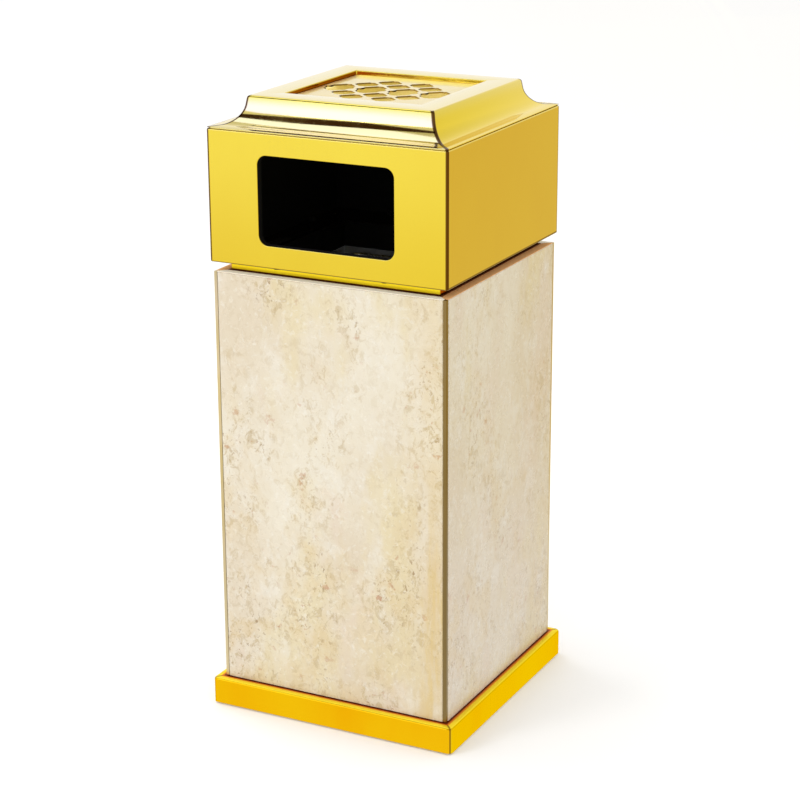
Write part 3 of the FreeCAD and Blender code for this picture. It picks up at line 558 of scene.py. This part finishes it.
def gold_plinth():
    """Deeper gold of the plinth's tray, yellower on its sides as painted reflection; its top runs from
    brown to yellow as painted reflection of the stone, with a painted shadow line right beside the stone.
    """
    look = Look("gold_plinth", Metallic=1.0, Specular_IOR_Level=0.1)
    plan = Plan(look)
    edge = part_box("plinth_tray")[1].x
    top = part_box("plinth_tray")[1].z
    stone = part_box("stone_panel_right")[1].x
    # painted reflection: the sides take a yellower gold than the front and back
    light = look.mix(plan.side, (0.90, 0.53, 0.004), (0.88, 0.60, 0.012))
    deep = look.mix(plan.side, (0.88, 0.43, 0.002), (0.86, 0.50, 0.006))
    polish(look, light, deep, 0.12)
    streaks = look.patches(0.35, 0.7, 30, 4, 0.6, (1, 1, 0.25), 8.0)
    colour = look.mix(look.times(streaks, 0.5), look.now("Base Color"), light)
    on_top = look.maths("GREATER_THAN", plan.height, top - 0.8 * MM)
    ledge = look.times(look.step(plan.reach, edge, edge - 0.6 * MM), on_top)
    # painted reflection on the top: orange-red near the stone fading to yellow at the edge, and a painted
    # shadow line right beside the stone
    reflection_fade = look.step(plan.reach, stone + 2.8 * MM, stone + 5.0 * MM)
    top_painted_reflection = look.mix(reflection_fade, (0.80, 0.21, 0.010), (1.0, 0.76, 0.03))
    stone_shadow_line = look.step(plan.reach, stone + 2.4 * MM, stone + 1.2 * MM)
    top_painted_reflection = look.mix(stone_shadow_line, top_painted_reflection, (0.22, 0.035, 0.006))
    colour = look.mix(ledge, colour, top_painted_reflection)
    near_corner = look.step(plan.aside, edge - 9 * MM, edge - 6 * MM)
    seam = look.times(look.step(plan.off_mitre, 1.7 * MM, 0.9 * MM), near_corner)
    look.set("Base Color", look.mix(look.times(seam, 0.75), colour, (0.16, 0.07, 0.01)))
    look.set("Metallic", look.step(ledge, 0.0, 1.0, 1.0, 0.3))
    look.set("Specular Tint", (1.0, 0.75, 0.05))
    return look.material


def gold_trim(name, tint):
    """Old-gold strips in the stone's corners, dulled by polishing dust."""
    look = Look(name, Metallic=1.0)
    polish(look, tint, shade(tint, 0.72), 0.28)
    return look.material


def zinc_steel():
    """Zinc-plated fasteners: fine drawn grain and dull patches."""
    look = Look("zinc_steel", Metallic=1.0)
    dull = look.patches(0.4, 0.65, 260, 3, 0.6)
    look.set("Base Color", look.mix(dull, (0.62, 0.63, 0.62), (0.50, 0.50, 0.47)))
    look.set("Roughness", look.step(look.noise(700, 2, 0.5), 0.3, 0.7, 0.25, 0.42))
    look.bump(look.noise(1500, 2, 0.5), 0.01 * MM)
    return look.material


def galvanised_sheet():
    """Hot-dip galvanised sheet with its flowery spangle."""
    look = Look("galvanised_sheet", Metallic=0.5, Specular_IOR_Level=0.3)
    spangle = look.cells(110)
    cloud = look.noise(14, 3, 0.5, shift=2.0)
    tone = look.mix(spangle, (0.50, 0.52, 0.54), (0.66, 0.68, 0.69))
    look.set("Base Color", look.mix(look.times(cloud, 0.35), tone, (0.42, 0.43, 0.44)))
    look.set("Roughness", look.step(spangle, 0.2, 0.8, 0.28, 0.5))
    look.bump(look.noise(300, 2, 0.5), 0.01 * MM)
    return look.material


def liner_sheet():
    """Brushed steel of the liner: hair lines, stains near its floor, and near-black inside as painted
    shade.
    """
    look = Look("liner_sheet", Metallic=0.35, Specular_IOR_Level=0.3)
    plan = Plan(look)
    hairs = look.noise(90, 4, 0.7, (1, 1, 14), 1.0)
    tone = look.mix(look.step(hairs, 0.3, 0.7), (0.44, 0.445, 0.45), (0.60, 0.605, 0.61))
    stains = look.patches(0.5, 0.7, 18, 5, 0.65, shift=7.0)
    stains = look.times(stains, look.step(plan.height, 0.30, 0.05))
    inner_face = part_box("liner_bucket")[1].x - 6.5 * MM
    # painted shade: the inside goes nearly black, by an amount that varies with a noise
    inside = look.maths("LESS_THAN", plan.reach, inner_face)
    inside_shade = look.step(look.noise(9, 4, 0.6, shift=11.0), 0.3, 0.7, 0.85, 0.95)
    tone = look.mix(look.times(inside, inside_shade), tone, (0.02, 0.019, 0.017))
    look.set("Base Color", look.mix(look.times(stains, 0.6), tone, (0.24, 0.20, 0.15)))
    look.set("Roughness", look.step(look.noise(40, 4, 0.6, shift=3.0), 0.3, 0.7, 0.36, 0.54))
    look.bump(hairs, 0.015 * MM)
    return look.material


def black_as_painted_shade(name, bright=None):
    """Near-black as painted shade for the parts inside the head; heads outside its back wall keep a bright
    colour.
    """
    look = Look(name, Specular_IOR_Level=0.2)
    grit = look.noise(600, 3, 0.6)
    colour = look.mix(grit, (0.003, 0.0028, 0.0025), (0.010, 0.009, 0.008))
    rough = look.step(look.noise(60, 3), 0.3, 0.7, 0.55, 0.85)
    if bright:
        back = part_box("head_walls")[1].y
        outside = look.maths("GREATER_THAN", look.axes()["Y"], back - 0.5 * MM)
        colour = look.mix(outside, colour, look.mix(grit, bright, shade(bright, 0.85)))
        rough = look.maths("SUBTRACT", rough, look.times(outside, 0.45))
        look.set("Metallic", outside)
    look.set("Base Color", colour)
    look.set("Roughness", rough)
    look.bump(grit, 0.02 * MM)
    return look.material


def fibreboard():
    """Sealed fibreboard: matted fibres with darker, compressed patches."""
    look = Look("fibreboard", Specular_IOR_Level=0.3)
    fibres = look.noise(220, 5, 0.75, (1, 0.3, 3), 0.0, 1.2)
    pressed = look.patches(0.35, 0.7, 26, 4, 0.6, shift=5.0)
    tone = look.mix(look.step(fibres, 0.35, 0.65), (0.22, 0.135, 0.07), (0.40, 0.27, 0.155))
    look.set("Base Color", look.mix(look.times(pressed, 0.45), tone, (0.19, 0.115, 0.06)))
    look.set("Roughness", look.step(fibres, 0.3, 0.7, 0.62, 0.85))
    look.bump(fibres, 0.12 * MM)
    return look.material


def black_rubber():
    """Moulded rubber with a fine matt grain and a dusty bloom."""
    look = Look("black_rubber", Specular_IOR_Level=0.35)
    bloom = look.patches(0.4, 0.75, 70, 4, 0.6)
    look.set("Base Color", look.mix(bloom, (0.010, 0.010, 0.010), (0.034, 0.032, 0.030)))
    look.set("Roughness", look.step(bloom, 0.0, 1.0, 0.5, 0.8))
    look.bump(look.noise(900, 2, 0.6), 0.04 * MM)
    return look.material


def adhesive():
    """Squeezed-out grey mounting adhesive, lumpy and slightly glossy."""
    look = Look("adhesive", Specular_IOR_Level=0.4)
    lumps = look.noise(45, 4, 0.6)
    look.set("Base Color", look.mix(look.step(lumps, 0.3, 0.7), (0.36, 0.34, 0.29), (0.50, 0.48, 0.42)))
    look.set("Roughness", look.step(look.noise(140, 3, shift=2.0), 0.3, 0.7, 0.35, 0.6))
    look.bump(lumps, 0.4 * MM)
    return look.material


def dress(material, *nodes):
    """Puts a material on every slot of some CAD nodes."""
    for name in nodes:
        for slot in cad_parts[name].material_slots:
            slot.material = material


# ---------------------------------------------------------------- formed sheet pieces

def arc(centre, radius, start, end, count):
    """Points on an arc in the section's plane; angles in radians from +inset towards +height."""
    points = []
    for k in range(count + 1):
        angle = start + (end - start) * k / count
        points.append((centre[0] + radius * math.cos(angle), centre[1] + radius * math.sin(angle)))
    return points


def bezier(start, first, second, end, count):
    """Points on a cubic curve."""
    points = []
    for k in range(count + 1):
        t = k / count
        weights = ((1 - t) ** 3, 3 * t * (1 - t) ** 2, 3 * t * t * (1 - t), t ** 3)
        corners = (start, first, second, end)
        points.append(tuple(sum(w * p[axis] for w, p in zip(weights, corners)) for axis in (0, 1)))
    return points


def ring(half, radius, height, count=6):
    """Square ring of points with rounded corners, anticlockwise from the front."""
    points = []
    for quarter in range(4):
        side_x = 1 if quarter in (0, 1) else -1
        side_y = 1 if quarter in (1, 2) else -1
        for k in range(count + 1):
            turn = math.radians(-90 + 90 * (quarter + k / count))
            x = side_x * (half - radius) + radius * math.cos(turn)
            y = side_y * (half - radius) + radius * math.sin(turn)
            points.append(Vector((x, y, height)) * MM)
    return points


def piece_from_rings(name, rings, material, smooth_angle=32):
    """Closed skin through square rings, from the first to the last and back to the first."""
    around = len(rings[0])
    points = [point for one in rings for point in one]
    faces = []
    for row in range(len(rings)):
        below = row * around
        above = (row + 1) % len(rings) * around
        for k in range(around):
            after = (k + 1) % around
            faces.append((below + k, below + after, above + after, above + k))
    mesh = bpy.data.meshes.new(name)
    mesh.from_pydata(points, [], faces)
    return finished(name, mesh, material, smooth_angle)


def finished(name, mesh, material, smooth_angle):
    """Object with welded, outward-facing, smooth-shaded faces."""
    form = bmesh.new()
    form.from_mesh(mesh)
    bmesh.ops.remove_doubles(form, verts=form.verts, dist=0.5e-6)
    bmesh.ops.recalc_face_normals(form, faces=form.faces)
    form.to_mesh(mesh)
    form.free()
    mesh.shade_smooth()
    mesh.set_sharp_from_angle(angle=math.radians(smooth_angle))
    mesh.materials.append(material)
    piece = bpy.data.objects.new(name, mesh)
    bpy.context.scene.collection.objects.link(piece)
    return piece


def crown_section():
    """Closed section of the crown's sheet, as inset and height, from its foot up and back inside."""
    top = (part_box("crown")[1].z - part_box("crown")[0].z) / MM
    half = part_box("crown")[1].x / MM
    lean_in, lean_up = math.sin(FASCIA_LEAN), math.cos(FASCIA_LEAN)
    round_height = top - TOP_ROUND
    rise = round_height + TOP_ROUND * lean_in - COVE_END[1]
    round_centre = (COVE_END[0] + rise * lean_in / lean_up + TOP_ROUND * lean_up, round_height)
    rim = half - RECESS_HALF
    floor = top - RECESS_DEPTH

    def skin(depth):
        """Outer face of cove, fascia and top round, moved inwards by a depth."""
        start = (BAND_END[0] + BAND_SLOPE * depth, BAND_END[1] - depth)
        end = (COVE_END[0] + depth * lean_up, COVE_END[1] - depth * lean_in)
        first = (start[0] + COVE_PULLS[0][0], start[1] + COVE_PULLS[0][1])
        second = (end[0] - COVE_PULLS[1][0], end[1] - COVE_PULLS[1][1])
        cove = bezier(start, first, second, end, 28)
        return cove + arc(round_centre, TOP_ROUND - depth, math.pi - FASCIA_LEAN, math.pi / 2, 8)

    edge_centre = (EDGE_ROUND, REVEAL[1] + EDGE_ROUND)
    outside = [(REVEAL[0], 0.0), REVEAL]
    outside += arc(edge_centre, EDGE_ROUND, 1.5 * math.pi, 0.55 * math.pi, 6)
    outside += skin(0.0)
    outside += arc((rim - RECESS_ROUND, top - RECESS_ROUND), RECESS_ROUND, math.pi / 2, 0.0, 5)
    outside += arc((rim + RECESS_ROUND, floor + RECESS_ROUND), RECESS_ROUND, math.pi, 1.5 * math.pi, 5)
    outside += [(half - SEAT_HALF, floor), (half - SEAT_HALF, floor - SHEET)]
    inside = [(rim - SHEET, floor - SHEET), (rim - SHEET, top - SHEET)]
    under = [point for point in reversed(skin(SHEET)) if point[0] > HEM]
    inside += under + [(HEM, under[-1][1] - 0.1), (HEM, 0.0)]
    return outside + inside


def add_crown(material):
    """Crown: a mitred cove moulding, top slab and recess in one skin."""
    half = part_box("crown")[1].x / MM
    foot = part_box("crown")[0].z / MM
    rings = [ring(half - inset, MITRE_ROUND, foot + height) for inset, height in crown_section()]
    crown = piece_from_rings("crown_sheet", rings, material)
    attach(crown, "head")
    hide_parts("crown")


# ---------------------------------------------------------------- the bin

add_camera()
add_studio()
add_crown(gold_crown())

for side, *pattern in STONE_PANELS:
    dress(marble("marble_" + side, *pattern), "stone_panel_" + side)
dress(gold_sheet(), "head_walls")
dress(gold_neck(), "neck_ring")
dress(gold_plate(), "grille_plate")
dress(gold_plinth(), "plinth_tray")
# two copies of one gold for the corner strips: dark as painted shade on the front-right and back-left,
# pale as painted light on the front-left and back-right
painted_shade_trim = gold_trim("gold_trim_painted_shade", (0.30, 0.205, 0.085))
dress(painted_shade_trim, "corner_trim_front_right", "corner_trim_back_left")
painted_light_trim = gold_trim("gold_trim_painted_light", (0.80, 0.66, 0.42))
dress(painted_light_trim, "corner_trim_front_left", "corner_trim_back_right")
dress(zinc_steel(), "foot_screws", "body_bolts", "body_washers", "body_nuts", "ear_rivets", "liner_bail")
dress(galvanised_sheet(), "inner_casing")
dress(liner_sheet(), "liner_bucket", "liner_ear_right", "liner_ear_left")
# parts inside the head are near-black as painted shade
in_head = black_as_painted_shade("black_as_painted_shade")
dress(in_head, "seam_strap", "neck_screws", "neck_nuts", "plug_skirt", "crown_studs", "crown_nuts")
dress(black_as_painted_shade("gold_rivets", (0.86, 0.58, 0.05)), "seam_rivets")
dress(ash_pan(), "ash_pan")
dress(fibreboard(), "plinth_board")
dress(black_rubber(), "rubber_feet", "base_gasket")
dress(adhesive(), "panel_adhesive")
